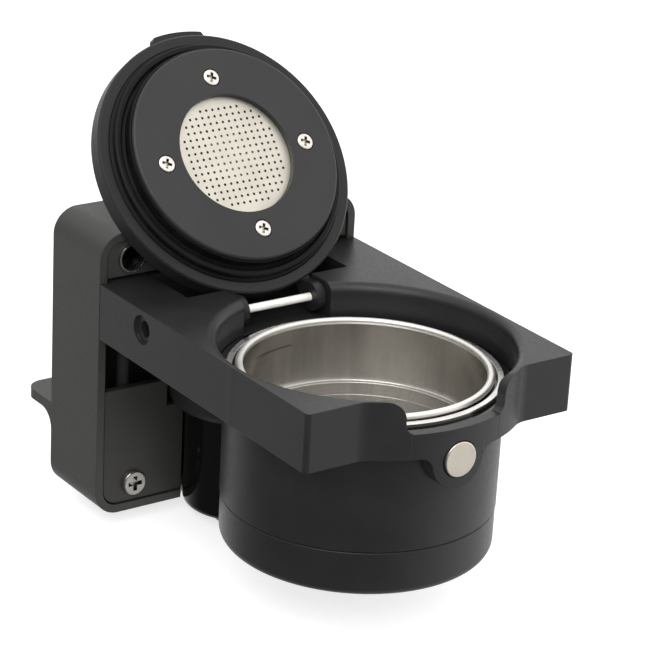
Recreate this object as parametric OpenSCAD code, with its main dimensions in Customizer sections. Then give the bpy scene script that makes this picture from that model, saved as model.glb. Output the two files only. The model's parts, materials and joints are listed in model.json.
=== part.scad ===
// Pod coffee machine brew head: a wall-held rear housing carries a flat arm, the arm holds a
// brew chamber with a steel filter basket, and a hinged lid with a shower plate swings over it.
// +Z is up, the lid's hinge runs along X, and the brew chamber stands in front, towards -Y.
// The origin is the centre of the housing's flat rear face.
// The lid is drawn open, leaning back on the front edge of the housing.

/* [Rear housing] */
// Width of the housing and of the arm
housing_w = 92.6; // [80:0.1:110]
// Height of the housing
housing_h = 91.8; // [85:0.1:110]
// Depth of the housing from front rim to rear face
housing_d = 28; // [24:0.5:40]
// Wall thickness of the housing
housing_wall = 2.6; // [2:0.1:4]
// Outer corner radius of the housing
housing_r = 8; // [4:0.5:12]
// How far the mounting flange stands out behind the rear face
flange_d = 17.5; // [10:0.5:25]
// Thickness of the mounting flange
flange_t = 3.2; // [2:0.1:5]
// Sideways and upright distance between the four rear mounting holes
mount_pitch = 60; // [50:1:64]

/* [Brew chamber] */
// Distance from the rear face to the axis of the brew chamber
cup_reach = 100; // [98:0.5:104]
// Height of the basket rim above the centre of the housing
rim_z = 23; // [22:0.5:24]
// Outer radius of the filter basket rim
rim_r = 37.5; // [37:0.1:38]
// Inner radius of the filter basket's rolled rim
basket_r = 35.2; // [35:0.1:35.4]
// Depth of the filter basket
basket_depth = 24; // [15:0.5:30]
// Outer radius of the cup
cup_r = 40.6; // [40:0.1:40.8]
// Height from the basket rim to the underside of the cup
cup_h = 54.8; // [45:0.1:60]
// Height of the screwed-on base of the cup
cup_base_h = 14.1; // [10:0.1:18]

/* [Arm] */
// Height of the arm's top face above the basket rim
arm_top = 7.9; // [7.5:0.1:8.5]
// Thickness of the arm
arm_t = 17.5; // [16:0.1:19]
// Radius of the round opening above the chamber's seat
opening_r = 43; // [42.8:0.1:43.2]
// Radius of the round nose at the front of the arm
nose_r = 46.3; // [46:0.1:48]
// Distance from the chamber axis to the flat parts of the front face
arm_front = 37.5; // [35:0.1:39]
// Half width of the finger notch in the nose
notch_w = 17; // [16:0.5:20]

/* [Lid] */
// Angle through which the lid swings from closed to fully open
open_angle = 129.4; // [120:0.1:129.5]
// Distance of the hinge pin behind the chamber axis
hinge_y = 46.5; // [46.3:0.1:47.5]
// Height of the hinge pin above the basket rim
hinge_z = 2.5; // [2:0.1:2.7]
// Radius of the hinge pin
pin_r = 1.25; // [1:0.05:1.5]
// Outer radius of the lid
lid_r = 42.3; // [41.5:0.1:42.4]
// Radius of the raised shower plate
plate_r = 34.3; // [33.5:0.1:34.5]
// Radius of the circle of shower plate screws
screw_circle_r = 24.8; // [23:0.1:26]
// Radius of the perforated shower screen
screen_r = 19.1; // [16:0.1:20]
// Distance between neighbouring holes of the shower screen
hole_pitch = 2.18; // [2:0.01:4]

/* [Button] */
// Radius of the push button
button_r = 5.3; // [5:0.1:6.5]
// Travel of the push button
button_travel = 1.5; // [1:0.1:1.5]

/* [Column] */
// Radius of the glossy column behind the cup
column_r = 17.2; // [16:0.1:18]
// Distance of the column behind the chamber axis
column_y = 63.3; // [63:0.1:64]

/* [Hidden] */
$fn = 96;

eps = 0.01;
over = 1;

// Colours
charcoal = [0.19, 0.19, 0.20];
warm_grey = [0.27, 0.27, 0.26];
gloss_black = [0.04, 0.04, 0.045];
steel = [0.80, 0.77, 0.72];
rubber_black = [0.07, 0.07, 0.075];
cream = [0.86, 0.83, 0.76];

// Levels measured from the basket rim
arm_bottom = arm_top - arm_t;
housing_mid = -rim_z;
housing_top = housing_mid + housing_h / 2;
housing_bottom = housing_mid - housing_h / 2;
housing_front = cup_reach - housing_d;
parting_z = cup_base_h - cup_h;
seat_z = -4.5;
lip_z = -2.0;
slot_z = -2.9;
pocket_z = -3.5;

// Arm
arm_w = housing_w - 0.2;
arm_corner_r = 1.5;
arm_tongue_d = 8;
nose_fillet_r = 8;
opening_fillet_r = 3;
seat_r = cup_r + 0.7;
slot_w = 15.6;
notch_flare_r = 5.5;
notch_foot_r = 3;
pocket_w = 28.8;
pocket_y = 51;
side_hole_r = 2.6;
side_counterbore_r = 4.5;
side_counterbore_d = 1.2;
side_hole_y = hinge_y + 1.3;
side_hole_z = hinge_z - 0.6;
block_w = 15;
boss_r = 8.8;
boss_z = -11.5;
boss_fillet_r = 4;

// Panels
panel_gap = 0.4;
panel_recess = 0.5;
panel_t = 2.6;
panel_w = housing_w - 2 * housing_wall - 2 * panel_gap;
panel_h = housing_h - 2 * housing_wall - 2 * panel_gap;
panel_r = housing_r - housing_wall - panel_gap;
upper_panel_z = arm_top + 0.9;
lower_panel_z = -27.9;
panel_front = housing_front + panel_recess;
panel_back = panel_front + panel_t;
channel_gap = 0.5;
channel_wall = 2;
upper_screw_x = 35;
upper_screw_z = 14.4;
lower_screw_x = 32.8;
lower_screw_z = -59.9;
post_r = 4.2;
rear_wall = 3;
rear_wall_y = cup_reach - rear_wall;

// M4 screws in the housing
m4_r = 2;
m4_pilot_r = 2;
m4_head_r = 4;
m4_head_t = 1.6;
m4_clear_r = 2.25;
bushing_r = 4.5;
bushing_wall = 0.5;
bushing_depth = 3.4;
arm_bolt_x = [-36, -12, 12, 36];
arm_bolt_z = -0.85;
arm_bolt_post_r = 5.4;
arm_bolt_head_r = 3.5;
arm_bolt_head_t = 4;

// Lid, drawn closed and then swung open about the hinge pin
lid_face_z = 3.1;
lid_top_z = 9.1;
lid_edge_r = 0.9;
lid_rim_w = 3.4;
lid_recess_z = 5.4;
plate_z = -4.4;
plate_top_z = lid_recess_z;
screen_z = plate_z + 2;
screen_t = 0.6;
screen_hole_r = 0.42;
screen_holes_r = screen_r - 1.7;
screen_lip = 1.2;
spread_cavity_z = 1.6;
m3_r = 1.25;
m3_head_r = 2.65;
m3_head_t = 1.4;
ear_in = 12.2;
ear_out = slot_w - 0.3;
ear_r = 4.5;
ear_bore_r = pin_r + 0.06;
pin_left = 24;
pin_right = 21.8;
tab_w = 9;
tab_reach = 44.6;
tab_z = 5.8;
tab_corner_r = 2.5;
gasket_clear = 0.3;

// Button: its face stands a little proud of the nose, and its pocket is in the front block
button_face = nose_r + 0.5;
button_t = 2.6;
button_rest_gap = 0.3;
button_gap = 0.3;
button_pocket_floor = button_face - button_t - button_travel - button_rest_gap;
button_stem_r = 1.4;
button_stem_end = 42.3;

// Chamber and cup
liner_lip_r = cup_r;
rim_t = 2.1;
rim_bead = 0.3;
ring_in_r = 38.2;
ring_out_r = 40.2;
ring_t = 0.6;
ring_foot_w = 0.6;
ring_foot_h = 1.1;
liner_flange_r = opening_r - 0.4;
liner_flange_t = 1.8;
liner_in_r = rim_r - 1.0;
cup_wall = 2.2;
cup_in_r = cup_r - cup_wall;
liner_depth = 30;
cup_edge_r = 3.4;
basket_wall = 0.8;
basket_step_z = -20;
basket_step_w = 1.6;
outlet_r = 5;
outlet_drop = 1.2;

// Column
collar_r = 22.4;
collar_z = -36;
collar_edge_r = 4.4;
column_bottom = housing_bottom - 1.1;
column_edge_r = 3;
column_wall = 2.2;
nozzle_r = 10.6;
nozzle_y = column_y - 3.3;
nozzle_drop = 2.8;

// Water tube inside the housing, from the arm down to an elbow and out of the rear face
tube_x = -34.2;
tube_y = 77.6;
tube_r = 2;
tube_bore_r = 1.2;
tube_bend_r = 7;
tube_bend_z = -42;
tube_nut_r = 3.6;
tube_nut_h = 3.5;

// Moves the chamber-centred coordinates to the housing's rear face
module at_chamber() {
    translate([0, -cup_reach, rim_z]) children();
}

// Turns a lid piece drawn closed into its open place
module swing_open() {
    at_chamber()
        translate([0, hinge_y, hinge_z])
            rotate([-open_angle, 0, 0])
                translate([0, -hinge_y, -hinge_z])
                    children();
}

// Extrudes a drawing made in X and Z along Y, from y0 to y1
module along_y(y0, y1) {
    translate([0, y1, 0])
        rotate([90, 0, 0])
            linear_extrude(y1 - y0) children();
}

// Cylinder along Y
module rod_y(x, z, r, y0, y1) {
    translate([x, y1, z])
        rotate([90, 0, 0])
            cylinder(r = r, h = y1 - y0);
}

// Cylinder along X
module rod_x(y, z, r, x0, x1) {
    translate([x0, y, z])
        rotate([0, 90, 0])
            cylinder(r = r, h = x1 - x0);
}

// Ring about the chamber axis
module ring(r_out, r_in, z0, z1) {
    translate([0, 0, z0])
        difference() {
            cylinder(r = r_out, h = z1 - z0);
            translate([0, 0, -over])
                cylinder(r = r_in, h = z1 - z0 + 2 * over);
        }
}

// Rectangle with round corners, centred
module rounded_rect(w, h, r) {
    square([w - 2 * r, h], center = true);
    square([w, h - 2 * r], center = true);
    for (sx = [-1, 1], sz = [-1, 1])
        translate([sx * (w / 2 - r), sz * (h / 2 - r)])
            circle(r);
}

// Points of an arc
function arc(cx, cy, r, a0, a1, n = 12) =
    [for (i = [0:n]) [cx + r * cos(a0 + (a1 - a0) * i / n), cy + r * sin(a0 + (a1 - a0) * i / n)]];

// Cross-shaped driver recess cut into a screw head, pointing along +Z from the origin
module cross_recess(size, depth) {
    for (a = [0, 90])
        rotate([0, 0, a])
            translate([-size / 2, -size / 7, -depth])
                cube([size, size / 3.5, depth + over]);
}

// Pan-head screw along Z: the head's underside is at z = 0 and the shank points down
module pan_screw(head_r, head_t, shank_r, shank_l) {
    edge = head_t * 0.35;
    difference() {
        union() {
            rotate_extrude()
                polygon(concat(
                    [[0, 0], [head_r, 0]],
                    arc(head_r - edge, head_t - edge, edge, 0, 90, 6),
                    [[0, head_t]]));
            translate([0, 0, -shank_l])
                cylinder(r = shank_r, h = shank_l + eps);
        }
        translate([0, 0, head_t])
            cross_recess(head_r * 1.2, head_t * 0.7);
    }
}

// Rear housing: open-fronted box with screw posts, a rear flange and an exit for the column
module housing_outline() {
    translate([0, housing_mid])
        rounded_rect(housing_w, housing_h, housing_r);
}

module housing_cavity() {
    along_y(housing_front - over, rear_wall_y)
        translate([0, housing_mid])
            rounded_rect(housing_w - 2 * housing_wall, housing_h - 2 * housing_wall,
                housing_r - housing_wall);
}

module mounting_flange() {
    z0 = housing_mid - 18 - flange_t;
    corner = 6;
    gusset = 6;
    translate([0, 0, z0])
        linear_extrude(flange_t)
            difference() {
                translate([0, cup_reach + flange_d / 2 - corner])
                    rounded_rect(housing_w, flange_d + 2 * corner, corner);
                translate([-housing_w, cup_reach - 4 * corner - over])
                    square([2 * housing_w, 4 * corner]);
            }
    translate([-housing_w / 2, 0, 0])
        rotate([90, 0, 90])
            linear_extrude(housing_w)
                difference() {
                    translate([cup_reach - 1, z0 - gusset])
                        square([gusset + 1, gusset + 1]);
                    translate([cup_reach + gusset, z0 - gusset])
                        circle(gusset);
                }
}

module housing_posts() {
    for (sx = [-1, 1]) {
        rod_y(sx * upper_screw_x, upper_screw_z, post_r, panel_back, rear_wall_y + eps);
        rod_y(sx * lower_screw_x, lower_screw_z, post_r, panel_back, rear_wall_y + eps);
    }
    for (x = arm_bolt_x)
        rod_y(x, arm_bolt_z, arm_bolt_post_r, housing_front + arm_tongue_d, rear_wall_y + eps);
}

module housing_holes() {
    for (sx = [-1, 1]) {
        rod_y(sx * upper_screw_x, upper_screw_z, m4_pilot_r, panel_back - over, rear_wall_y - 6);
        rod_y(sx * lower_screw_x, lower_screw_z, m4_pilot_r, panel_back - over, rear_wall_y - 6);
        for (sz = [-1, 1])
            rod_y(sx * mount_pitch / 2, housing_mid + sz * mount_pitch / 2, m4_clear_r,
                rear_wall_y - over, cup_reach + over);
    }
    for (x = arm_bolt_x) {
        rod_y(x, arm_bolt_z, m4_clear_r, housing_front, cup_reach + over);
        rod_y(x, arm_bolt_z, arm_bolt_head_r + 0.3, cup_reach - arm_bolt_head_t, cup_reach + over);
    }
    rod_y(tube_x, tube_bend_z - tube_bend_r, tube_r, rear_wall_y - over, cup_reach + over);
}

module rear_housing() {
    color(warm_grey)
        at_chamber()
            difference() {
                union() {
                    difference() {
                        along_y(housing_front, cup_reach) housing_outline();
                        housing_cavity();
                    }
                    housing_posts();
                    mounting_flange();
                }
                housing_holes();
                column_clearance(column_r + channel_gap, housing_bottom - over, housing_mid);
            }
}

module column_clearance(r, z0, z1) {
    translate([0, column_y, z0])
        cylinder(r = r, h = z1 - z0);
}

// Inset front panels above and below the arm
module panel_outline(z0, z1) {
    intersection() {
        translate([0, housing_mid])
            rounded_rect(panel_w, panel_h, panel_r);
        translate([-panel_w, z0])
            square([2 * panel_w, z1 - z0]);
    }
}

module upper_panel() {
    color(charcoal)
        at_chamber()
            difference() {
                along_y(panel_front, panel_back)
                    panel_outline(upper_panel_z, housing_top);
                for (sx = [-1, 1])
                    rod_y(sx * upper_screw_x, upper_screw_z, bushing_r,
                        panel_front - over, panel_back + over);
            }
}

module lower_panel() {
    r_in = column_r + channel_gap;
    bottom = housing_mid - panel_h / 2;
    color(charcoal)
        at_chamber()
            difference() {
                union() {
                    along_y(panel_front, panel_back)
                        panel_outline(housing_bottom, lower_panel_z);
                    intersection() {
                        column_clearance(r_in + channel_wall, bottom, collar_z - 1);
                        translate([-housing_w / 2, panel_back - eps, bottom])
                            cube([housing_w, housing_d, panel_h]);
                    }
                }
                column_clearance(r_in, housing_bottom - over, 0);
                column_clearance(collar_r + 0.6, collar_z - 0.6, 0);
                for (sx = [-1, 1])
                    rod_y(sx * lower_screw_x, lower_screw_z, m4_clear_r,
                        panel_front - over, panel_back + over);
            }
}

module housing_screw(x, z, y_head) {
    translate([x, y_head, z])
        rotate([90, 0, 0])
            pan_screw(m4_head_r, m4_head_t, m4_r, 12);
}

module lower_panel_screws() {
    color(steel)
        at_chamber()
            for (sx = [-1, 1])
                housing_screw(sx * lower_screw_x, lower_screw_z, panel_front);
}

// Upper screws sit deep inside bright sleeves
module upper_panel_screws() {
    color(gloss_black)
        at_chamber()
            for (sx = [-1, 1])
                translate([sx * upper_screw_x, panel_back, upper_screw_z])
                    rotate([90, 0, 0])
                        pan_screw(bushing_r - bushing_wall - 0.1, 1.4, m4_r, 10);
}

module panel_bushings() {
    color(steel)
        at_chamber()
            for (sx = [-1, 1])
                translate([sx * upper_screw_x, panel_front, upper_screw_z])
                    rotate([90, 0, 0])
                        translate([0, 0, -panel_t])
                            difference() {
                                cylinder(r = bushing_r, h = bushing_depth);
                                translate([0, 0, -over])
                                    cylinder(r = bushing_r - bushing_wall, h = bushing_depth + 2 * over);
                            }
}

// Arm: flat bar with a round opening, hinge slot, lid pocket and round nose
module arm_outline() {
    cy = arm_front + nose_fillet_r;
    cx = sqrt(pow(nose_r + nose_fillet_r, 2) - pow(cy, 2));
    touch = nose_r / (nose_r + nose_fillet_r);
    back = housing_front;
    circle(nose_r);
    difference() {
        translate([-arm_w / 2, -arm_front])
            square([arm_w, back + arm_front]);
        for (sx = [-1, 1])
            translate([sx * (arm_w / 2 - arm_corner_r), -arm_front + arm_corner_r])
                difference() {
                    translate([sx > 0 ? 0 : -2 * arm_corner_r, -2 * arm_corner_r])
                        square(2 * arm_corner_r);
                    circle(arm_corner_r);
                }
    }
    for (sx = [-1, 1])
        difference() {
            polygon([[0, -arm_front + 1], [sx * cx, -arm_front + 1], [sx * cx, -arm_front],
                [sx * cx * touch, -cy * touch]]);
            translate([sx * cx, -cy])
                circle(nose_fillet_r);
        }
}

// Rounded upper edge of the opening
module opening_edge_cut() {
    r = opening_fillet_r;
    rotate_extrude()
        polygon(concat(
            [[opening_r - over, arm_top - r]],
            arc(opening_r + r, arm_top - r, r, 180, 90),
            [[opening_r + r, arm_top + over], [opening_r - over, arm_top + over]]));
}

// Finger notch with flared upper corners and rounded lower corners
module notch_shape() {
    foot = notch_foot_r;
    flare = notch_flare_r;
    top = arm_top + over;
    polygon(concat(
        arc(notch_w - foot, lip_z + foot, foot, -90, 0, 8),
        arc(notch_w + flare, arm_top - flare, flare, 180, 90, 12),
        [[notch_w + flare, top], [-notch_w - flare, top]],
        arc(-notch_w - flare, arm_top - flare, flare, 90, 0, 12),
        arc(-notch_w + foot, lip_z + foot, foot, 180, 270, 8)));
}

module brew_arm() {
    nose_cut = 30;
    tongue_w = panel_w - 1;
    color(charcoal)
        at_chamber()
            difference() {
                union() {
                    translate([0, 0, arm_bottom])
                        linear_extrude(arm_t) arm_outline();
                    translate([-tongue_w / 2, housing_front - eps, arm_bottom])
                        cube([tongue_w, arm_tongue_d + eps, arm_t]);
                }
                translate([0, 0, seat_z])
                    cylinder(r = opening_r, h = arm_t);
                translate([0, 0, arm_bottom - over])
                    cylinder(r = seat_r, h = arm_t);
                opening_edge_cut();
                along_y(-nose_r - over, -nose_cut) notch_shape();
                translate([-block_w, -nose_r - over, arm_bottom - over])
                    cube([2 * block_w, nose_r - nose_cut, arm_t]);
                translate([-slot_w, nose_cut, slot_z])
                    cube([2 * slot_w, pocket_y - nose_cut + over, arm_t]);
                translate([-pocket_w, pocket_y, pocket_z])
                    cube([2 * pocket_w, housing_front - pocket_y, arm_t]);
                rod_x(side_hole_y, side_hole_z, side_counterbore_r, -arm_w / 2 - over,
                    -arm_w / 2 + side_counterbore_d);
                rod_x(side_hole_y, side_hole_z, side_hole_r, -arm_w / 2 - over, -pin_left);
                rod_x(hinge_y, hinge_z, pin_r, -pin_left - eps, pin_right);
                for (x = arm_bolt_x)
                    rod_y(x, arm_bolt_z, m4_r, housing_front + 1, housing_front + arm_tongue_d + over);
                translate([tube_x, tube_y, arm_bottom - over])
                    cylinder(r = tube_r, h = over + 4);
            }
}

module arm_bolts() {
    color(steel)
        at_chamber()
            for (x = arm_bolt_x)
                difference() {
                    union() {
                        rod_y(x, arm_bolt_z, arm_bolt_head_r, cup_reach - arm_bolt_head_t, cup_reach - 0.4);
                        rod_y(x, arm_bolt_z, m4_r, housing_front + 2, cup_reach - arm_bolt_head_t + eps);
                    }
                    translate([x, cup_reach, arm_bolt_z])
                        rotate([90, 0, 0])
                            cylinder(r = 1.75, h = 2.4, $fn = 6);
                }
}

// Front block: closes the nose between the two seams and carries the push button
module block_front_view() {
    f = boss_fillet_r;
    drop = boss_z - arm_bottom + f;
    cx = sqrt(pow(boss_r + f, 2) - pow(drop, 2));
    touch = boss_r / (boss_r + f);
    polygon([[-block_w + 0.05, arm_bottom], [block_w - 0.05, arm_bottom],
        [block_w - 0.05, lip_z], [-block_w + 0.05, lip_z]]);
    translate([0, boss_z])
        circle(boss_r);
    for (sx = [-1, 1])
        difference() {
            polygon([[0, arm_bottom], [sx * cx, arm_bottom], [sx * cx, boss_z - drop],
                [sx * cx * touch, boss_z - drop * touch], [0, boss_z]]);
            translate([sx * cx, arm_bottom - f])
                circle(f);
        }
}

module front_block() {
    color(charcoal)
        at_chamber()
            difference() {
                intersection() {
                    along_y(-nose_r, -30) block_front_view();
                    ring(nose_r, seat_r, boss_z - boss_r - over, arm_top);
                }
                translate([0, 0, seat_z])
                    cylinder(r = opening_r, h = arm_t);
                rod_y(0, boss_z, button_r + button_gap, -nose_r - over, -button_pocket_floor);
                rod_y(0, boss_z, button_stem_r + 0.08, -button_pocket_floor - over, -seat_r + over);
            }
}

module button() {
    edge = 0.4;
    color(cream)
        at_chamber()
            translate([0, -button_face, boss_z])
                rotate([-90, 0, 0]) {
                    rotate_extrude()
                        polygon(concat(
                            [[0, 0]],
                            arc(button_r - edge, edge, edge, -90, 0, 6),
                            [[button_r, button_t], [0, button_t]]));
                    cylinder(r = button_stem_r, h = button_face - button_stem_end);
                }
}

// Wave spring behind the button, drawn as its envelope
module button_spring() {
    gap = 0.05;
    color(steel)
        at_chamber()
            translate([0, -button_face + button_t + gap, boss_z])
                rotate([-90, 0, 0])
                    difference() {
                        cylinder(r = 4.6, h = button_face - button_t - button_pocket_floor - 2 * gap);
                        translate([0, 0, -over])
                            cylinder(r = 3.2, h = 5);
                    }
}

module hinge_pin() {
    color(steel)
        at_chamber()
            rod_x(hinge_y, hinge_z, pin_r, -pin_left, pin_right);
}

module hinge_set_screw() {
    color(gloss_black)
        at_chamber()
            difference() {
                rod_x(side_hole_y, side_hole_z, side_hole_r, -pin_left - 6, -pin_left);
                translate([-pin_left - 6 - eps, side_hole_y, side_hole_z])
                    rotate([0, 90, 0])
                        cylinder(r = 1.4, h = 2.5, $fn = 6);
            }
}

// Lid cap with finger tab and two hinge ears
module lid_disc() {
    e = lid_edge_r;
    rim_in = lid_r - lid_rim_w;
    dish_r = 30;
    dish = 0.7;
    rotate_extrude()
        polygon(concat(
            [[0, lid_recess_z], [rim_in, lid_recess_z], [rim_in, lid_face_z],
                [lid_r - 0.5, lid_face_z], [lid_r, lid_face_z + 0.5]],
            arc(lid_r - e, lid_top_z - e, e, 0, 90, 8),
            [[dish_r + dish, lid_top_z], [dish_r, lid_top_z - dish], [0, lid_top_z - dish]]));
}

module finger_tab() {
    reach = tab_reach;
    depth = 10;
    translate([0, 0, tab_z])
        linear_extrude(lid_top_z - 0.4 - tab_z)
            difference() {
                intersection() {
                    circle(reach);
                    translate([0, depth / 2 - reach])
                        rounded_rect(2 * tab_w, depth, tab_corner_r);
                }
                circle(lid_r - 2);
            }
}

module ear_profile() {
    inner = 36;
    circle_z = hinge_z;
    difference() {
        union() {
            translate([hinge_y, circle_z])
                circle(ear_r);
            polygon([[hinge_y - 2.4, circle_z - 3.8], [hinge_y + 1.6, circle_z + 4.2],
                [hinge_y - 7, lid_top_z - 1.2], [inner, lid_top_z - 1.2], [inner, lid_face_z + 0.6],
                [hinge_y - 6.2, lid_face_z + 0.6]]);
        }
        translate([hinge_y, circle_z])
            circle(ear_bore_r);
    }
}

module lid_ears() {
    for (sx = [-1, 1])
        translate([sx > 0 ? ear_in : -ear_out, 0, 0])
            rotate([90, 0, 90])
                linear_extrude(ear_out - ear_in) ear_profile();
}

module lid_cap() {
    color(charcoal)
        swing_open()
            difference() {
                union() {
                    lid_disc();
                    finger_tab();
                    difference() {
                        lid_ears();
                        translate([0, 0, lid_face_z - over])
                            cylinder(r = lid_r - 1, h = 20);
                    }
                }
                for (a = [0:90:270])
                    rotate([0, 0, a])
                        translate([screw_circle_r, 0, lid_recess_z - over])
                            cylinder(r = m3_r, h = over + 2.4);
            }
}

// Ribbed seal round the shower plate: a thin sleeve below and two ridges that meet the basket rim
module lid_gasket() {
    in = plate_r + 0.05;
    out = lid_r - lid_rim_w - 0.05;
    sleeve_r = basket_r - gasket_clear;
    sleeve_z = plate_z + 1.2;
    color(rubber_black)
        swing_open()
            rotate_extrude()
                polygon(concat(
                    [[in, lid_recess_z], [in, sleeve_z], [sleeve_r - 0.2, sleeve_z],
                        [sleeve_r, sleeve_z + 0.3], [sleeve_r, gasket_clear],
                        [sleeve_r + 0.7, gasket_clear + 0.7], [sleeve_r + 1.4, gasket_clear]],
                    arc(out - 1.7, gasket_clear + 0.9, 0.9, -90, 40, 8),
                    [[out - 1.8, 2.4]],
                    arc(out - 0.7, 3.4, 0.7, -60, 0, 6),
                    [[out, lid_recess_z]]));
}

module shower_plate() {
    edge = 0.8;
    color(charcoal)
        swing_open()
            difference() {
                rotate_extrude()
                    polygon(concat(
                        [[0, plate_z]],
                        arc(plate_r - edge, plate_z + edge, edge, -90, 0, 6),
                        [[plate_r, plate_top_z], [0, plate_top_z]]));
                translate([0, 0, plate_z - over])
                    cylinder(r = screen_r + 0.05, h = screen_z + screen_t - plate_z + over);
                translate([0, 0, plate_z])
                    cylinder(r = screen_r - screen_lip, h = spread_cavity_z - plate_z);
                for (a = [0:90:270])
                    rotate([0, 0, a])
                        translate([screw_circle_r, 0, 0]) {
                            translate([0, 0, plate_z - over])
                                cylinder(r = m3_head_r + 0.25, h = m3_head_t - 0.2 + over);
                            translate([0, 0, plate_z])
                                cylinder(r = m3_r, h = 12);
                        }
            }
}

// Perforated screen: a square grid of holes inside a round border
module shower_screen() {
    n = floor(screen_holes_r / hole_pitch);
    color(cream)
        swing_open()
            translate([0, 0, screen_z])
                difference() {
                    cylinder(r = screen_r, h = screen_t);
                    for (i = [-n:n], j = [-n:n])
                        if (norm([i, j]) * hole_pitch < screen_holes_r)
                            translate([i * hole_pitch, j * hole_pitch, -over])
                                cylinder(r = screen_hole_r, h = screen_t + 2 * over, $fn = 13);
                }
}

module spreader_disc() {
    r = 8;
    color(cream)
        swing_open() {
            translate([0, 0, screen_z + screen_t + 0.6])
                cylinder(r = r, h = 0.8);
            translate([0, 0, screen_z + screen_t + 1])
                cylinder(r = 2, h = spread_cavity_z - screen_z - screen_t - 1);
        }
}

module lid_screws() {
    color(steel)
        swing_open()
            for (a = [0:90:270])
                rotate([0, 0, a])
                    translate([screw_circle_r, 0, plate_z + m3_head_t - 0.2])
                        rotate([180, 0, 25])
                            pan_screw(m3_head_r, m3_head_t, m3_r, 10);
}

// Glossy liner: hangs in the arm on its flange and carries the basket's rim and the seat ring
module chamber_liner() {
    shelf = -rim_t;
    skirt_r = cup_in_r - 0.05;
    color(gloss_black)
        at_chamber()
            rotate_extrude()
                polygon([
                    [liner_in_r, -liner_depth], [skirt_r, -liner_depth], [skirt_r, seat_z],
                    [liner_flange_r, seat_z], [liner_flange_r, seat_z + liner_flange_t],
                    [liner_lip_r, seat_z + liner_flange_t], [liner_lip_r, shelf - 0.3],
                    [liner_lip_r - 0.3, shelf], [ring_in_r + ring_foot_w, shelf],
                    [ring_in_r + ring_foot_w, shelf - ring_foot_h],
                    [ring_in_r, shelf - ring_foot_h], [ring_in_r, shelf], [liner_in_r, shelf]]);
}

module cup_body() {
    color(charcoal)
        at_chamber()
            rotate_extrude()
                polygon([
                    [cup_in_r, parting_z + 0.2], [cup_r - 0.25, parting_z + 0.2],
                    [cup_r, parting_z + 0.5], [cup_r, seat_z], [cup_in_r, seat_z]]);
}

// Screwed-on base with a rounded lower edge
module cup_base() {
    floor_t = 3;
    e = cup_edge_r;
    spigot_r = cup_in_r - 0.05;
    spigot_h = 6;
    bottom_z = -cup_h;
    color(charcoal)
        at_chamber()
            rotate_extrude()
                polygon(concat(
                    [[outlet_r, bottom_z], [cup_r - 0.2 - e, bottom_z]],
                    arc(cup_r - 0.2 - e, bottom_z + e, e, -90, 0, 10),
                    [[cup_r - 0.2, parting_z - 0.3], [cup_r - 0.45, parting_z - 0.05],
                        [spigot_r, parting_z - 0.05], [spigot_r, parting_z + 1.4],
                        [spigot_r - 1.2, parting_z + 1.4], [spigot_r - 1.2, parting_z + 2.8],
                        [spigot_r, parting_z + 2.8], [spigot_r, parting_z + spigot_h],
                        [spigot_r - 2.6, parting_z + spigot_h], [spigot_r - 2.6, bottom_z + floor_t],
                        [outlet_r, bottom_z + floor_t]]));
}

module base_seal() {
    spigot_r = cup_in_r - 0.05;
    color(rubber_black)
        at_chamber()
            ring(spigot_r, spigot_r - 1.2, parting_z + 1.4, parting_z + 2.8);
}

// Coffee outlet in the middle of the base
module coffee_outlet() {
    bore = 2.5;
    color(gloss_black)
        at_chamber()
            rotate_extrude()
                polygon([
                    [bore, -cup_h - outlet_drop], [outlet_r - 0.6, -cup_h - outlet_drop],
                    [outlet_r, -cup_h - outlet_drop + 0.6], [outlet_r, -cup_h + 3],
                    [outlet_r + 2, -cup_h + 3], [outlet_r + 2, -cup_h + 4.5], [bore, -cup_h + 4.5]]);
}

// Pressed steel basket with a rolled rim, a stepped floor and fine outlet holes
module filter_basket() {
    wall_in = basket_r + rim_bead;
    out = wall_in + basket_wall;
    bead = rim_t / 2;
    mid = (basket_r + rim_r) / 2;
    squash = (rim_r - basket_r) / rim_t;
    floor_r = basket_r - basket_step_w;
    hole_rings = 4;
    ring_pitch = 3.2;
    color(steel)
        at_chamber()
            difference() {
                rotate_extrude()
                    polygon(concat(
                        [[0, -basket_depth - basket_wall], [floor_r, -basket_depth - basket_wall],
                            [floor_r + basket_wall, -basket_depth],
                            [floor_r + basket_wall, basket_step_z - basket_wall],
                            [out, basket_step_z - basket_wall], [out, -rim_t],
                            [mid + 0.4, -rim_t]],
                        [for (a = [-60:10:210])
                            [mid + squash * bead * cos(a), bead * sin(a) - bead]],
                        [[wall_in, -rim_t + 0.4],
                            [wall_in, basket_step_z], [floor_r, basket_step_z],
                            [floor_r, -basket_depth], [0, -basket_depth]]));
                for (k = [0:hole_rings])
                    for (i = [0:max(0, 6 * k - 1)])
                        rotate([0, 0, 360 * i / max(1, 6 * k)])
                            translate([ring_pitch * k, 0, -basket_depth - basket_wall - over])
                                cylinder(r = 0.5, h = basket_wall + 2 * over, $fn = 13);
            }
}

// Steel ring round the basket's rim, with a foot pressed into a groove of the liner
module seat_ring() {
    shelf = -rim_t;
    edge = 0.2;
    color(steel)
        at_chamber()
            rotate_extrude()
                polygon([
                    [ring_in_r, shelf - ring_foot_h], [ring_in_r + ring_foot_w, shelf - ring_foot_h],
                    [ring_in_r + ring_foot_w, shelf], [ring_out_r, shelf],
                    [ring_out_r, shelf + ring_t - edge], [ring_out_r - edge, shelf + ring_t],
                    [ring_in_r + edge, shelf + ring_t], [ring_in_r, shelf + ring_t - edge]]);
}

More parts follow.
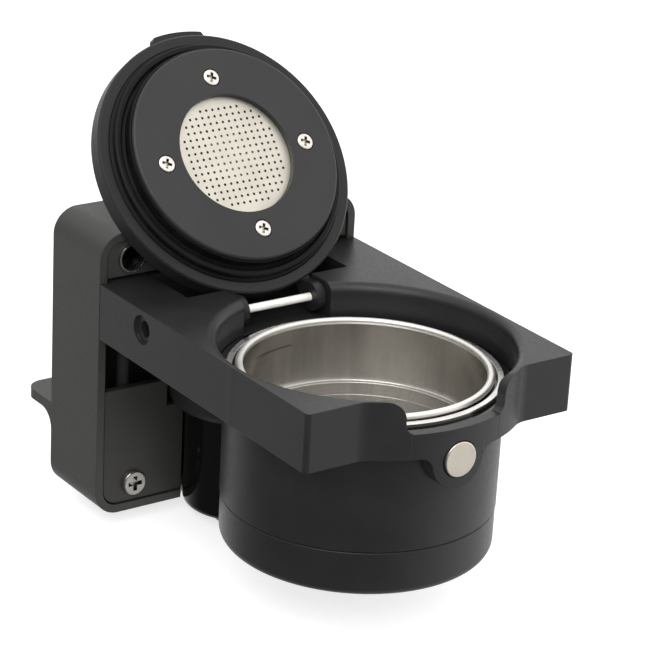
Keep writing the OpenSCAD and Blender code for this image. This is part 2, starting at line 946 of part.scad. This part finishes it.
// Collar under the arm, and the glossy column that it holds
module column_collar() {
    e = collar_edge_r;
    color(charcoal)
        at_chamber()
            difference() {
                translate([0, column_y, 0])
                    rotate_extrude()
                        polygon(concat(
                            [[column_r + 0.05, collar_z], [collar_r - e, collar_z]],
                            arc(collar_r - e, collar_z + e, e, -90, 0, 8),
                            [[collar_r, arm_bottom], [column_r + 0.05, arm_bottom]]));
                translate([0, 0, collar_z - over])
                    cylinder(r = cup_r + 0.4, h = 40);
            }
}

module column_body() {
    e = column_edge_r;
    in = column_r - column_wall;
    color(gloss_black)
        at_chamber()
            difference() {
                translate([0, column_y, 0])
                    rotate_extrude()
                        polygon(concat(
                            [[0, column_bottom], [column_r - e, column_bottom]],
                            arc(column_r - e, column_bottom + e, e, -90, 0, 8),
                            [[column_r, arm_bottom], [in, arm_bottom],
                                [in, column_bottom + column_wall], [0, column_bottom + column_wall]]));
                translate([0, nozzle_y, column_bottom - over])
                    cylinder(r = nozzle_r - 2, h = column_wall + 2 * over);
            }
}

module drain_nozzle() {
    bore = 1.6;
    color(gloss_black)
        at_chamber()
            translate([0, nozzle_y, column_bottom])
                rotate_extrude()
                    polygon([
                        [bore, -nozzle_drop], [nozzle_r - 0.8, -nozzle_drop],
                        [nozzle_r, -nozzle_drop + 0.8], [nozzle_r, 0],
                        [nozzle_r - 2, 0], [nozzle_r - 2, column_wall], [bore, column_wall]]);
}

// Tube of one radius along the whole run: down from the arm, round the elbow and to the rear face
module tube_run(r, past) {
    translate([tube_x, tube_y, tube_bend_z])
        cylinder(r = r, h = arm_bottom + 4 + past - tube_bend_z);
    translate([tube_x, tube_y + tube_bend_r, tube_bend_z])
        rotate([0, -90, 0])
            rotate([0, 0, 180])
                rotate_extrude(angle = 90)
                    translate([tube_bend_r, 0])
                        circle(r);
    rod_y(tube_x, tube_bend_z - tube_bend_r, r, tube_y + tube_bend_r, cup_reach + past);
}

module water_tube() {
    color(cream)
        at_chamber()
            difference() {
                tube_run(tube_r, 0);
                tube_run(tube_bore_r, over);
            }
}

module tube_nut() {
    color(gloss_black)
        at_chamber()
            translate([tube_x, tube_y, arm_bottom - tube_nut_h])
                difference() {
                    cylinder(r = tube_nut_r, h = tube_nut_h, $fn = 6);
                    translate([0, 0, -over])
                        cylinder(r = tube_r, h = tube_nut_h + 2 * over);
                }
}

rear_housing();
upper_panel();
lower_panel();
lower_panel_screws();
upper_panel_screws();
panel_bushings();
brew_arm();
arm_bolts();
front_block();
button();
button_spring();
hinge_pin();
hinge_set_screw();
lid_cap();
lid_gasket();
shower_plate();
shower_screen();
spreader_disc();
lid_screws();
chamber_liner();
cup_body();
cup_base();
base_seal();
coffee_outlet();
filter_basket();
seat_ring();
column_collar();
column_body();
drain_nozzle();
water_tube();
tube_nut();
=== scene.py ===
"""Looks of a wall-held pod coffee brew head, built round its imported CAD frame.

Everything is in metres in the row frame: +Z up, the brew chamber in front towards -Y, and the
origin at the centre of the housing's flat rear face.
"""

import json
import math

import bmesh
import bpy
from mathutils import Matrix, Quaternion, Vector

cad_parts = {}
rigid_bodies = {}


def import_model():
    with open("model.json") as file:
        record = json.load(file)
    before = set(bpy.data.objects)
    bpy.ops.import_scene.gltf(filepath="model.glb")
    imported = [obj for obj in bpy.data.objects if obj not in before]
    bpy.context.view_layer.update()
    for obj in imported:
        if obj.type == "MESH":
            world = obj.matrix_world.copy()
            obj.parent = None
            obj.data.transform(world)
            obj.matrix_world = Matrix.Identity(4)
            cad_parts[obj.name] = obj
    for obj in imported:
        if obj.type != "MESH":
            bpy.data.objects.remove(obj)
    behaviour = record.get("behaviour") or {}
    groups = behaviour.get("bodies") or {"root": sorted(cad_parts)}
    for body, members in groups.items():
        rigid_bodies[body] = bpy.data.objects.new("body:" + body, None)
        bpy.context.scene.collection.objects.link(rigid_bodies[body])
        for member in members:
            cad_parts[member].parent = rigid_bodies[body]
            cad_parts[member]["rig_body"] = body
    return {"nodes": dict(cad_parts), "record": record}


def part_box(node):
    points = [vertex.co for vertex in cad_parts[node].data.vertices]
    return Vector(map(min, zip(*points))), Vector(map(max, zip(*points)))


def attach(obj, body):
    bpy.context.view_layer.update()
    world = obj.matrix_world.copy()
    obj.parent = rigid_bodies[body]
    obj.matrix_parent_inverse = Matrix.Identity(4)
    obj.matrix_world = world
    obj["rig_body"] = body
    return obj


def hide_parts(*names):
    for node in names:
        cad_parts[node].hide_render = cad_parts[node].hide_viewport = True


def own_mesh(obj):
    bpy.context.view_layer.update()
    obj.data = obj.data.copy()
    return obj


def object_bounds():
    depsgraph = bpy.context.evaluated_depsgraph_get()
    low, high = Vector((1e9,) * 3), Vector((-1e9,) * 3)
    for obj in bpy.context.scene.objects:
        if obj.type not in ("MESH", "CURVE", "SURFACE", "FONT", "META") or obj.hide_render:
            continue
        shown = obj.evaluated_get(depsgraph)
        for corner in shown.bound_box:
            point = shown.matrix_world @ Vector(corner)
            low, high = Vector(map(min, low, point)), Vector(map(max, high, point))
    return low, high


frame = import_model()
cad_low, cad_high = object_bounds()
MM = 0.001

# Camera
VIEW_TARGET = Vector((7.5, -71.9, 8.0)) * MM
VIEW_AZIMUTH = math.radians(-36.0)
VIEW_ELEVATION = math.radians(22.63)
VIEW_ROLL = math.radians(3.18)
VIEW_DISTANCE = 808.6 * MM
VIEW_LENS = 149.8
VIEW_SHIFT = (-0.0054, 0.0770)

# Axis of the brew chamber, top of its basket's rim, and depths below that rim
rim_low, rim_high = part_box("filter_basket")
CHAMBER_AXIS = ((rim_low.x + rim_high.x) / 2, (rim_low.y + rim_high.y) / 2)
RIM_Z = rim_high.z
ROLL_DEPTH = 2.0 * MM
LEVEL_DEPTH = 6.8 * MM
STEP_DEPTH = 20.0 * MM


# ---------------------------------------------------------------- node helpers


MATERIALS = {}


class Nodes:
    """A node tree, with short calls for the nodes that the materials and the world share."""

    def __init__(self, tree):
        self.tree = tree

    def link(self, source, target):
        self.tree.links.new(source, target)

    def put(self, socket, value):
        if isinstance(value, bpy.types.NodeSocket):
            self.link(value, socket)
        else:
            socket.default_value = value

    def math(self, operation, a, b=0.0):
        node = self.tree.nodes.new("ShaderNodeMath")
        node.operation = operation
        for socket, value in zip(node.inputs, (a, b)):
            self.put(socket, value)
        return node.outputs[0]

    def times(self, a, b):
        return self.math("MULTIPLY", a, b)

    def add(self, a, b):
        return self.math("ADD", a, b)

    def span(self, value, low, high, to_low, to_high):
        """Maps low..high to to_low..to_high, clamped and smooth."""
        node = self.tree.nodes.new("ShaderNodeMapRange")
        node.interpolation_type = "SMOOTHSTEP"
        for socket, number in zip(node.inputs, (value, low, high, to_low, to_high)):
            self.put(socket, number)
        return node.outputs[0]

    def split(self, vector):
        node = self.tree.nodes.new("ShaderNodeSeparateXYZ")
        self.link(vector, node.inputs[0])
        return node.outputs


class Graph(Nodes):
    """The node tree of a new material, which is kept in MATERIALS under its name."""

    def __init__(self, name):
        self.material = bpy.data.materials.new(name)
        MATERIALS[name] = self.material
        self.material.use_nodes = True
        super().__init__(self.material.node_tree)
        self.tree.nodes.clear()
        out = self.tree.nodes.new("ShaderNodeOutputMaterial")
        self.shader = self.tree.nodes.new("ShaderNodeBsdfPrincipled")
        self.link(self.shader.outputs[0], out.inputs[0])

    def place(self):
        """Position in the row frame at rest, in metres."""
        return self.tree.nodes.new("ShaderNodeTexCoord").outputs["Object"]

    def join(self, x, y, z):
        node = self.tree.nodes.new("ShaderNodeCombineXYZ")
        for socket, value in zip(node.inputs, (x, y, z)):
            self.put(socket, value)
        return node.outputs[0]

    def noise(self, vector, scale, detail=2.0, roughness=0.5):
        node = self.tree.nodes.new("ShaderNodeTexNoise")
        self.link(vector, node.inputs["Vector"])
        node.inputs["Scale"].default_value = scale
        node.inputs["Detail"].default_value = detail
        node.inputs["Roughness"].default_value = roughness
        return node.outputs["Fac"]

    def grains(self, vector, scale):
        node = self.tree.nodes.new("ShaderNodeTexVoronoi")
        self.link(vector, node.inputs["Vector"])
        node.inputs["Scale"].default_value = scale
        return node.outputs["Distance"]

    def mix(self, factor, a, b):
        node = self.tree.nodes.new("ShaderNodeMix")
        node.data_type = "RGBA"
        self.put(node.inputs["Factor"], factor)
        self.put(node.inputs["A"], a)
        self.put(node.inputs["B"], b)
        return node.outputs["Result"]

    def soft_edge(self, radius):
        """Normals rounded over the edges, within radius."""
        node = self.tree.nodes.new("ShaderNodeBevel")
        node.samples = 6
        node.inputs["Radius"].default_value = radius
        return node.outputs[0]

    def edge_mask(self, radius):
        """1 on sharp edges, falling to 0 within radius."""
        geometry = self.tree.nodes.new("ShaderNodeNewGeometry")
        node = self.tree.nodes.new("ShaderNodeVectorMath")
        node.operation = "DOT_PRODUCT"
        self.link(self.soft_edge(radius), node.inputs[0])
        self.link(geometry.outputs["True Normal"], node.inputs[1])
        return self.span(node.outputs["Value"], 0.78, 0.985, 1.0, 0.0)

    def recess(self, depth):
        """1 deep in narrow recesses, falling to 0 in the open."""
        node = self.tree.nodes.new("ShaderNodeAmbientOcclusion")
        node.samples = 8
        node.only_local = True
        node.inputs["Distance"].default_value = depth
        return self.span(node.outputs["AO"], 0.35, 0.8, 1.0, 0.0)

    def bump(self, height, distance, strength=1.0, normal=None):
        node = self.tree.nodes.new("ShaderNodeBump")
        node.inputs["Strength"].default_value = strength
        node.inputs["Distance"].default_value = distance
        self.link(height, node.inputs["Height"])
        if normal is not None:
            self.link(normal, node.inputs["Normal"])
        return node.outputs[0]

    def finish(self, colour, roughness, normal=None, **plain):
        self.put(self.shader.inputs["Base Color"], colour)
        self.put(self.shader.inputs["Roughness"], roughness)
        if normal is not None:
            self.link(normal, self.shader.inputs["Normal"])
        for name, value in plain.items():
            self.shader.inputs[name.replace("_", " ")].default_value = value
        return self.material


def rgba(r, g, b):
    return (r, g, b, 1.0)


def scaled(colour, k):
    return rgba(*(min(1.0, c * k) for c in colour[:3]))


# Studio: the way its bright side lies in X and Y, the world's strengths, and the floor
BRIGHT_SIDE = (0.9, 0.44)
DARK_SIDE_LIGHT = 0.1
BRIGHT_SIDE_LIGHT = 1.15
OVERHEAD_LIGHT = 1.15
LOW_LIGHT_SHARE = 0.55
FLOOR_GAP = 0.5 * MM
FLOOR_GLOW = 0.68


# ------------------------------------------------------------------- materials


def moulded_plastic(name, colour, roughness, grain=0.012, edge=0.35, wear_and_sheen_gain=1.5, ior=1.45):
    """Matt plastic with a fine spark-eroded grain, faint flow marks and paler edges, partly rubbing
    wear and partly a painted highlight.
    """
    g = Graph(name)
    at = g.place()
    grain_height = g.grains(at, 2600)
    flow = g.noise(at, 55, 4.0, 0.6)
    speck = g.noise(at, 900, 2.0, 0.6)
    edge_wear_and_sheen = g.times(g.edge_mask(edge * MM), g.span(flow, 0.35, 0.65, 0.35, 1.0))
    tone = g.mix(g.span(flow, 0.3, 0.7, 0.0, 1.0), scaled(colour, 0.9), scaled(colour, 1.1))
    # Paler edges: partly rubbing wear, partly a painted highlight along the rounded edges.
    tone = g.mix(g.times(edge_wear_and_sheen, 0.6), tone, scaled(colour, wear_and_sheen_gain))
    rough = g.add(g.span(flow, 0.3, 0.7, roughness - 0.03, roughness + 0.03),
                  g.span(speck, 0.35, 0.65, -0.03, 0.03))
    rough = g.math("SUBTRACT", rough, g.times(edge_wear_and_sheen, 0.06))
    normal = g.bump(grain_height, grain * MM, 0.6, g.soft_edge(edge * MM))
    return g.finish(tone, rough, normal, IOR=ior)


def gloss_plastic(name, colour, roughness):
    """Polished plastic with slight mould waviness and faint upright hairlines."""
    g = Graph(name)
    at = g.place()
    x, y, z = g.split(at)
    wave = g.noise(at, 60, 2.0)
    hair = g.noise(g.join(x, y, g.times(z, 0.08)), 1500, 2.0)
    rough = g.add(g.span(wave, 0.3, 0.7, roughness, roughness + 0.04),
                  g.span(hair, 0.55, 0.7, 0.0, 0.06))
    normal = g.bump(wave, 0.02 * MM, 0.35, g.soft_edge(0.2 * MM))
    tone = g.mix(g.span(hair, 0.6, 0.75, 0.0, 0.3), colour, scaled(colour, 1.6))
    return g.finish(tone, rough, normal, IOR=1.5)


def seal_rubber(name, colour):
    """Silicone with a powdery bloom and a soft grain."""
    g = Graph(name)
    at = g.place()
    bloom = g.noise(at, 140, 5.0, 0.65)
    grain = g.noise(at, 2400, 2.0)
    tone = g.mix(g.span(bloom, 0.4, 0.75, 0.0, 1.0), colour, scaled(colour, 1.8))
    normal = g.bump(grain, 0.01 * MM, 0.5, g.soft_edge(0.15 * MM))
    return g.finish(tone, g.span(bloom, 0.3, 0.7, 0.42, 0.58), normal, IOR=1.28)


def turned_steel(name, colour, roughness):
    """The basket's steel, brushed round the chamber's axis, with drawing streaks, dull patches, a
    painted highlight on the rolled rim and the step, and a fill line."""
    g = Graph(name)
    at = g.place()
    x, y, z = g.split(at)
    across = g.math("SUBTRACT", x, CHAMBER_AXIS[0])
    along = g.math("SUBTRACT", y, CHAMBER_AXIS[1])
    angle = g.math("ARCTAN2", along, across)
    radius = g.math("SQRT", g.add(g.times(across, across), g.times(along, along)))
    turned = g.join(g.times(angle, 0.004), radius, z)
    lines = g.noise(turned, 4200, 3.0, 0.7)
    coarse = g.noise(turned, 900, 2.0, 0.6)
    drawn = g.noise(g.join(g.times(angle, 0.035), 0.0, g.times(z, 0.05)), 300, 3.0)
    dull = g.noise(at, 45, 4.0, 0.6)
    mark = level_line(g, angle, z)
    tone = g.mix(g.span(dull, 0.35, 0.7, 0.0, 1.0), colour, scaled(colour, 0.88))
    tone = g.mix(g.span(lines, 0.55, 0.8, 0.0, 0.12), tone, scaled(colour, 1.1))
    tone = g.mix(mark, tone, scaled(colour, 0.35))
    height = g.add(g.times(lines, 0.5), g.times(coarse, 0.5))
    height = g.math("SUBTRACT", height, g.times(mark, 2.0))
    normal = g.bump(height, 0.0005 * MM, 0.4, g.soft_edge(0.3 * MM))
    rolled = g.span(z, RIM_Z - ROLL_DEPTH, RIM_Z - ROLL_DEPTH + 0.3 * MM, 0.0, 1.0)
    from_step = g.math("ABSOLUTE", g.math("SUBTRACT", z, RIM_Z - STEP_DEPTH))
    rim_and_step_highlight = g.math("MAXIMUM", rolled, g.span(from_step, 0.15 * MM, 0.4 * MM, 1.0, 0.0))
    # Painted highlight: the rolled rim and the step's edge are coloured near white.
    tone = g.mix(rim_and_step_highlight, tone, rgba(0.92, 0.9, 0.86))
    rough = g.add(g.span(lines, 0.3, 0.7, roughness - 0.015, roughness + 0.02),
                  g.span(drawn, 0.35, 0.65, -0.02, 0.03))
    rough = g.add(rough, g.times(rolled, 0.22))
    return g.finish(tone, rough, normal, Metallic=1.0)


def level_line(g, angle, z):
    """1 on a short engraved fill line on the basket's wall."""
    start, end = math.radians(92), math.radians(118)
    soft = math.radians(0.4)
    half = 0.3 * MM
    inside = g.times(g.span(angle, start - soft, start + soft, 0.0, 1.0),
                     g.span(angle, end - soft, end + soft, 1.0, 0.0))
    off = g.math("ABSOLUTE", g.math("SUBTRACT", z, RIM_Z - LEVEL_DEPTH))
    return g.times(inside, g.span(off, half / 2, half, 1.0, 0.0))


def polished_steel(name, colour, roughness, metal=1.0, recess_shade=0.0, scratch=1.0):
    """Plated or polished steel with fine scratches, clouded patches and painted shade darkening its
    recesses.
    """
    g = Graph(name)
    at = g.place()
    x, y, z = g.split(at)
    line = g.noise(g.join(g.times(x, 0.15), y, g.times(z, 1.2)), 1800, 3.0, 0.7)
    cloud = g.noise(at, 260, 3.0)
    tone = g.mix(g.span(cloud, 0.4, 0.7, 0.0, 1.0), colour, scaled(colour, 0.88))
    if recess_shade:
        # Painted shade: the colour turns dark brown deep in narrow recesses, where shade falls.
        tone = g.mix(g.times(g.recess(1.4 * MM), recess_shade), tone, rgba(0.035, 0.028, 0.02))
    rough = g.add(g.span(cloud, 0.35, 0.7, roughness, roughness + 0.08),
                  g.span(line, 0.5, 0.75, 0.0, 0.1))
    normal = g.bump(line, 0.004 * MM * scratch, 0.4, g.soft_edge(0.1 * MM))
    return g.finish(tone, rough, normal, Metallic=metal)


def satin_sheet(name, colour, roughness):
    """Bead-blasted thin sheet, slightly uneven."""
    g = Graph(name)
    at = g.place()
    bead = g.noise(at, 3200, 2.0, 0.6)
    cloud = g.noise(at, 120, 3.0)
    tone = g.mix(g.span(cloud, 0.35, 0.7, 0.0, 1.0), colour, scaled(colour, 0.93))
    rough = g.add(g.span(bead, 0.3, 0.7, roughness - 0.04, roughness + 0.04),
                  g.span(cloud, 0.3, 0.7, -0.03, 0.03))
    normal = g.bump(bead, 0.004 * MM, 0.4, g.soft_edge(0.1 * MM))
    return g.finish(tone, rough, normal, Metallic=1.0)


def satin_plastic(name, colour):
    """Smooth satin plastic with a faint bloom."""
    g = Graph(name)
    at = g.place()
    bloom = g.noise(at, 180, 3.0)
    tone = g.mix(g.span(bloom, 0.35, 0.7, 0.0, 1.0), colour, scaled(colour, 0.85))
    normal = g.bump(g.noise(at, 1600, 2.0), 0.008 * MM, 0.4)
    return g.finish(tone, g.span(bloom, 0.3, 0.7, 0.3, 0.42), normal, IOR=1.41)


def pale_floor(name):
    """Studio paper, lit from within so that it stays pale between the lights."""
    g = Graph(name)
    fibre = g.noise(g.place(), 300, 4.0)
    tone = g.mix(g.span(fibre, 0.3, 0.7, 0.0, 1.0), rgba(0.5, 0.5, 0.5), rgba(0.54, 0.54, 0.54))
    g.shader.inputs["Emission Color"].default_value = rgba(1.0, 1.0, 1.0)
    g.shader.inputs["Emission Strength"].default_value = FLOOR_GLOW
    return g.finish(tone, g.span(fibre, 0.3, 0.7, 0.75, 0.85), g.bump(fibre, 0.02 * MM, 0.2))


moulded_plastic("charcoal_plastic", rgba(0.0125, 0.0125, 0.013), 0.38)
moulded_plastic("warm_grey_plastic", rgba(0.027, 0.027, 0.0248), 0.44)
moulded_plastic("panel_plastic", rgba(0.023, 0.0225, 0.0205), 0.46)
# Painted highlight: the lid's edges are made much paler than the rest of it.
moulded_plastic("lid_plastic", rgba(0.0185, 0.0178, 0.0185), 0.42, edge=0.3, wear_and_sheen_gain=3.5)
moulded_plastic("cap_plastic", rgba(0.012, 0.012, 0.0125), 0.42, edge=0.25, ior=1.38)
moulded_plastic("cup_plastic", rgba(0.012, 0.0117, 0.012), 0.36, grain=0.006)
gloss_plastic("gloss_black_plastic", rgba(0.0015, 0.0015, 0.0015), 0.08)
seal_rubber("seal_rubber", rgba(0.003, 0.003, 0.003))
polished_steel("zinc_steel", rgba(0.62, 0.6, 0.56), 0.3, recess_shade=0.9)
polished_steel("bright_steel", rgba(0.93, 0.89, 0.82), 0.34, recess_shade=0.8)
polished_steel("rim_steel", rgba(0.9, 0.88, 0.85), 0.25, scratch=0.25)
polished_steel("pin_steel", rgba(0.9, 0.88, 0.83), 0.5, metal=0.25)
polished_steel("black_steel", rgba(0.03, 0.03, 0.03), 0.3)
polished_steel("spring_steel", rgba(0.55, 0.54, 0.52), 0.22)
satin_sheet("satin_button", rgba(0.84, 0.79, 0.68), 0.4)
satin_sheet("screen_steel", rgba(0.76, 0.72, 0.63), 0.5)
turned_steel("basket_steel", rgba(0.6, 0.58, 0.545), 0.22)
satin_plastic("cream_plastic", rgba(0.72, 0.69, 0.6))
satin_plastic("dark_tube", rgba(0.016, 0.016, 0.016))
SLOTS = {row["node"]: row["material_slot"] for row in frame["record"]["subparts"]}


# ---------------------------------------------------------------------- meshes


def stand_in(node, mesh):
    """A piece with this mesh, shown in a CAD node's place and riding on the node's body."""
    piece = bpy.data.objects.new(mesh.name, mesh)
    bpy.context.scene.collection.objects.link(piece)
    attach(piece, frame["nodes"][node]["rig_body"])
    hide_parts(node)
    return piece


def softened(node, width, segments=3, min_angle=28):
    """A copy of a CAD node with its sharp edges rounded, shown in the node's place."""
    mesh = frame["nodes"][node].data.copy()
    mesh.name = node + "_soft"
    bm = bmesh.new()
    bm.from_mesh(mesh)
    bmesh.ops.remove_doubles(bm, verts=bm.verts, dist=0.002 * MM)
    bmesh.ops.dissolve_limit(bm, angle_limit=math.radians(0.4), verts=bm.verts, edges=bm.edges)
    bmesh.ops.recalc_face_normals(bm, faces=bm.faces)
    sharp = [e for e in bm.edges if len(e.link_faces) == 2
             and e.calc_face_angle(0.0) > math.radians(min_angle)]
    bmesh.ops.bevel(bm, geom=sharp, offset=width * MM, offset_type="OFFSET", segments=segments,
                    profile=0.5, affect="EDGES", clamp_overlap=True, loop_slide=True)
    for face in bm.faces:
        face.smooth = True
    bm.to_mesh(mesh)
    bm.free()
    piece = stand_in(node, mesh)
    weigh = piece.modifiers.new("weighted normals", "WEIGHTED_NORMAL")
    weigh.keep_sharp = True
    return piece


def wave_spring(node, turns=3, waves=3.5, wire=0.16 * MM, strip=0.9 * MM):
    """A flat-wire wave spring in its envelope's place."""
    low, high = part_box(node)
    middle = (low + high) / 2
    gap = 0.01 * MM
    outer = (high.x - low.x) / 2 - 3 * gap
    length = high.y - low.y
    pitch = (length - 2 * gap) / (turns + 1)
    swing = (pitch - wire) / 2
    first = low.y + gap + wire / 2 + swing
    steps = 96
    points, faces = [], []
    for i in range(turns * steps + 1):
        angle = 2 * math.pi * i / steps
        y = first + pitch * i / steps + swing * math.cos(waves * angle)
        for radius, side in ((outer, -1), (outer, 1), (outer - strip, 1), (outer - strip, -1)):
            points.append((middle.x + radius * math.cos(angle), y + side * wire / 2,
                           middle.z + radius * math.sin(angle)))
        if i:
            a, b = 4 * (i - 1), 4 * i
            faces += [(a + k, a + (k + 1) % 4, b + (k + 1) % 4, b + k) for k in range(4)]
    last = len(points) - 4
    faces += [(3, 2, 1, 0), (last, last + 1, last + 2, last + 3)]
    mesh = bpy.data.meshes.new(node + "_coil")
    mesh.from_pydata(points, [], faces)
    bm = bmesh.new()
    bm.from_mesh(mesh)
    bmesh.ops.recalc_face_normals(bm, faces=bm.faces)
    bm.to_mesh(mesh)
    bm.free()
    piece = stand_in(node, mesh)
    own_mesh(piece)
    return piece


def paint(obj, slot):
    obj.data.materials.clear()
    obj.data.materials.append(MATERIALS[slot])


# Width of the rounding on each piece's sharp edges, in millimetres
SOFT_EDGES = {
    "brew_arm": 1.0,
    "rear_housing": 0.45,
    "front_block": 0.35,
    "lid_cap": 0.35,
    "upper_panel": 0.3,
    "lower_panel": 0.3,
}

# Nodes whose finish differs from the rest of their slot
OWN_LOOKS = {"hinge_pin": "pin_steel", "lid_cap": "cap_plastic", "panel_bushings": "rim_steel",
             "upper_panel": "warm_grey_plastic"}

for name, node in frame["nodes"].items():
    if name in SOFT_EDGES:
        node = softened(name, SOFT_EDGES[name])
    elif name == "button_spring":
        node = wave_spring(name)
    paint(node, OWN_LOOKS.get(name, SLOTS[name]))


# ------------------------------------------------------- floor, lights, camera


def add_floor():
    half = 3.0
    mesh = bpy.data.meshes.new("floor")
    z = cad_low.z - FLOOR_GAP
    mesh.from_pydata([(-half, -half, z), (half, -half, z), (half, half, z), (-half, half, z)], [],
                     [(0, 1, 2, 3)])
    floor = bpy.data.objects.new("floor", mesh)
    bpy.context.scene.collection.objects.link(floor)
    mesh.materials.append(pale_floor("floor_paper"))
    floor.visible_glossy = False


def soft_box(name, place, aim, size, watts, glossy=True):
    """A rectangular studio light at place, in metres, aimed at a point."""
    lamp = bpy.data.lights.new(name, "AREA")
    lamp.shape = "RECTANGLE"
    lamp.size, lamp.size_y = size
    lamp.energy = watts
    obj = bpy.data.objects.new(name, lamp)
    obj.location = place
    obj.rotation_mode = "QUATERNION"
    obj.rotation_quaternion = (Vector(aim) - Vector(place)).to_track_quat("-Z", "Y")
    obj.visible_glossy = glossy
    bpy.context.scene.collection.objects.link(obj)


def add_world():
    """A studio that is bright overhead and to the right, and dark towards the camera's side."""
    world = bpy.data.worlds.new("studio")
    world.use_nodes = True
    g = Nodes(world.node_tree)
    background = g.tree.nodes["Background"]
    x, y, z = g.split(g.tree.nodes.new("ShaderNodeTexCoord").outputs["Generated"])
    towards = g.add(g.times(x, BRIGHT_SIDE[0]), g.times(y, BRIGHT_SIDE[1]))
    level = g.span(towards, -0.6, 0.6, DARK_SIDE_LIGHT, BRIGHT_SIDE_LIGHT)
    below = g.times(level, g.span(z, -0.9, -0.1, LOW_LIGHT_SHARE, 1.0))
    g.link(g.span(z, 0.15, 0.85, below, OVERHEAD_LIGHT), background.inputs["Strength"])
    background.inputs["Color"].default_value = rgba(1.0, 1.0, 1.0)
    bpy.context.scene.world = world


def add_camera():
    data = bpy.data.cameras.new("camera")
    data.lens = VIEW_LENS
    data.sensor_width = 36.0
    data.sensor_fit = "HORIZONTAL"
    data.shift_x, data.shift_y = VIEW_SHIFT
    data.clip_start, data.clip_end = 0.02, 20.0
    camera = bpy.data.objects.new("camera", data)
    level = math.cos(VIEW_ELEVATION)
    back = Vector((math.sin(VIEW_AZIMUTH) * level, -math.cos(VIEW_AZIMUTH) * level,
                   math.sin(VIEW_ELEVATION)))
    camera.location = VIEW_TARGET + back * VIEW_DISTANCE
    camera.rotation_mode = "QUATERNION"
    roll = Quaternion((0, 0, 1), VIEW_ROLL)
    camera.rotation_quaternion = (-back).to_track_quat("-Z", "Y") @ roll
    bpy.context.scene.collection.objects.link(camera)
    bpy.context.scene.camera = camera


add_floor()
add_world()
soft_box("key", (-0.5, -0.5, 1.1), (0.0, -0.08, 0.0), (0.9, 0.9), 6.0)
soft_box("fill", (-0.55, -0.95, 0.45), (0.0, -0.08, 0.0), (0.9, 0.7), 10.0, glossy=False)
add_camera()
bpy.context.scene.view_settings.view_transform = "Standard"
